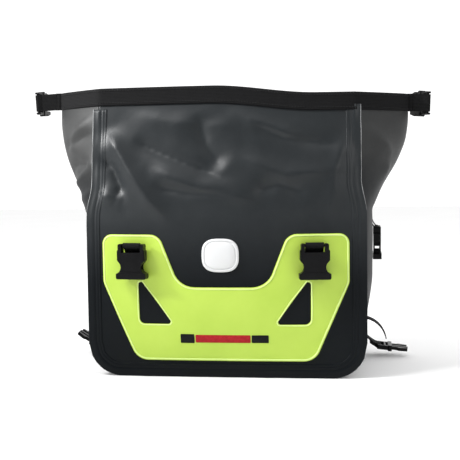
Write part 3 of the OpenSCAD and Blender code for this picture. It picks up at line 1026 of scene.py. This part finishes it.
def lime_patch():
    outline = resampled(patch_outline(), 0.0045)
    holes = [resampled(triangle_hole(side), 0.003) for side in (-1, 1)]
    plate = conformed_plate("lime_patch_film", [outline] + holes, 0.006, 0.0001, 0.0013, LIME)
    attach(plate, "bag")
    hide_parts("lime_patch")
    # The rim beads carry a painted highlight: paler film than the patch.
    rim = bead(inset_loop(outline, 0.0022), "lime_patch_rim", 0.0011, 0.0006, 0.0013, LIME_RIM)
    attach(rim, "bag")
    for side, hole in zip(("left", "right"), holes):
        grown = [p + (p - sum(hole, Vector((0, 0))) / len(hole)).normalized() * 0.0016 for p in hole]
        ring = bead(grown, f"{side}_cutout_rim", 0.0009, 0.0005, 0.0013, LIME_RIM)
        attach(ring, "bag")


lime_patch()


def superellipse(half_w, half_h, power, count):
    points = []
    for i in range(count):
        a = 2 * math.pi * i / count
        c, s = math.cos(a), math.sin(a)
        points.append(Vector((
            half_w * math.copysign(abs(c) ** (2 / power), c),
            half_h * math.copysign(abs(s) ** (2 / power), s),
        )))
    return points


def badge():
    """Soft domed badge with one shallow groove inside its edge."""
    lo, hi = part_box("badge")
    centre = Vector((-0.003, (lo.z + hi.z) / 2))
    edge = superellipse((hi.x - lo.x) / 2, (hi.z - lo.z) / 2, 2.9, 72)
    # (share of the outline, height)
    rings = [
        (1.0, 0.0), (1.0, 0.0011), (0.985, 0.0018), (0.955, 0.0023), (0.900, 0.0025), (0.862, 0.0024),
        (0.846, 0.0018),
        (0.826, 0.0018), (0.808, 0.0025), (0.760, 0.0029), (0.600, 0.0034), (0.400, 0.0038), (0.200, 0.0040),
    ]
    vertices = []
    for share, height in rings:
        vertices += [on_front(centre.x + p.x * share, centre.y + p.y * share, height) for p in edge]
    count = len(edge)
    faces = []
    for j in range(len(rings) - 1):
        for i in range(count):
            k = (i + 1) % count
            faces.append((j * count + i, j * count + k, (j + 1) * count + k, (j + 1) * count + i))
    vertices.append(on_front(centre.x, centre.y, 0.0041))
    tip = len(vertices) - 1
    last = (len(rings) - 1) * count
    faces += [(last + i, last + (i + 1) % count, tip) for i in range(count)]
    faces.append(tuple(reversed(range(count))))
    obj = new_object("badge_dome", vertices, faces, BADGE)
    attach(obj, "bag")
    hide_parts("badge")


badge()


def print_bars():
    """Plain bars where the print is: a tall dark block, then a red and a dark bar."""
    lo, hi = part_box("print_bars")
    middle = (lo.z + hi.z) / 2
    bars = [
        ("print_block", lo.x, 0.020, hi.z - lo.z, INK_DARK),
        ("print_bar_red", lo.x + 0.0215, 0.078, 0.0112, INK_RED),
        ("print_bar_dark", lo.x + 0.101, 0.024, 0.0112, INK_DARK),
    ]
    for name, x, width, height, ink in bars:
        r = 0.0012
        low, high = middle - height / 2, middle + height / 2
        loop = arc(x + width - r, high - r, r, 90, 0, 3) + arc(x + width - r, low + r, r, 0, -90, 3)
        loop += arc(x + r, low + r, r, -90, -180, 3) + arc(x + r, high - r, r, 180, 90, 3)
        obj = conformed_plate(name, [resampled(loop, 0.004)], 0.006, 0.0011, 0.00165, ink)
        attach(obj, "bag")
        if name == "print_block":
            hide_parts("print_bars")


print_bars()

# ---- CAD nodes that stay: bevels and materials ----


def dress(node, material, bevel):
    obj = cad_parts[node]
    obj.data.materials.clear()
    obj.data.materials.append(material)
    if bevel:
        add_bevel(obj, bevel)


SIDES = ("left", "right")
for side_name in SIDES:
    for part in ("front_socket", "side_socket", "hem_plug", "closing_plug", "tie_plug"):
        dress(f"{side_name}_{part}", PLASTIC, 0.0006)
    straps = ("front_tab", "hem_loop", "side_tab", "strap_anchor", "tie_tab", "tie_strap", "closing_strap")
    for part in straps:
        dress(f"{side_name}_{part}", WEBBING, 0.0004)
for board_node in ("base_board", "back_board"):
    dress(board_node, BOARD, 0.0006)

# ---- Floor, light ----


def floor_material():
    n = Nodes("floor")
    n.set("Base Color", n.ramp(n.noise(n.coords(), 3.0), [(0.3, grey(0.94)), (0.7, grey(0.96))]))
    n.set("Roughness", 0.75)
    n.set("Specular IOR Level", 0.1)
    return n.material


def make_floor():
    size = 6.0
    vertices = [(-size, -size, 0), (size, -size, 0), (size, size, 0), (-size, size, 0)]
    obj = new_object("floor", vertices, [(0, 1, 2, 3)], floor_material())


def area_light(name, place, target, size, power):
    data = bpy.data.lights.new(name, "AREA")
    data.shape = "RECTANGLE"
    data.size, data.size_y = size
    data.energy = power
    obj = bpy.data.objects.new(name, data)
    obj.location = place
    obj.rotation_mode = "QUATERNION"
    obj.rotation_quaternion = (Vector(target) - Vector(place)).to_track_quat("-Z", "Y")
    bpy.context.scene.collection.objects.link(obj)


def raking_spot(place, target):
    """A narrow soft spot that rakes across the crumpled top and brings out its folds."""
    data = bpy.data.lights.new("raking_spot", "SPOT")
    data.energy = 200
    data.spot_size = math.radians(21)
    data.spot_blend = 1.0
    data.shadow_soft_size = 0.10
    obj = bpy.data.objects.new("raking_spot", data)
    obj.location = place
    obj.rotation_mode = "QUATERNION"
    obj.rotation_quaternion = (Vector(target) - Vector(place)).to_track_quat("-Z", "Y")
    bpy.context.scene.collection.objects.link(obj)


def studio_world():
    """White behind and above the bag, and dim in front of it."""
    world = bpy.data.worlds.new("studio")
    world.use_nodes = True
    tree = world.node_tree
    background = tree.nodes["Background"]
    place = tree.nodes.new("ShaderNodeTexCoord")
    split = tree.nodes.new("ShaderNodeSeparateXYZ")
    tree.links.new(place.outputs["Generated"], split.inputs["Vector"])
    level = tree.nodes.new("ShaderNodeMapRange")
    level.interpolation_type = "SMOOTHSTEP"
    for name, value in (("From Min", -0.10), ("From Max", 0.55), ("To Min", 0.14), ("To Max", 1.25)):
        level.inputs[name].default_value = value
    towards = tree.nodes.new("ShaderNodeMath")
    towards.operation = "ADD"
    tree.links.new(split.outputs["Y"], towards.inputs[0])
    tree.links.new(split.outputs["Z"], towards.inputs[1])
    tree.links.new(towards.outputs[0], level.inputs["Value"])
    tree.links.new(level.outputs["Result"], background.inputs["Strength"])
    background.inputs["Color"].default_value = (1, 1, 1, 1)
    bpy.context.scene.world = world


def make_light():
    studio_world()
    area_light("key", (-1.3, -0.9, 2.0), (0, 0, 0.25), (0.7, 0.7), 40)
    raking_spot((-1.75, -0.62, 1.15), (-0.08, 0, 0.325))
    area_light("fill", (1.6, -1.4, 1.2), (0, 0, 0.2), (0.9, 0.9), 12)


make_floor()
make_light()
bpy.context.scene.view_settings.view_transform = "Standard"
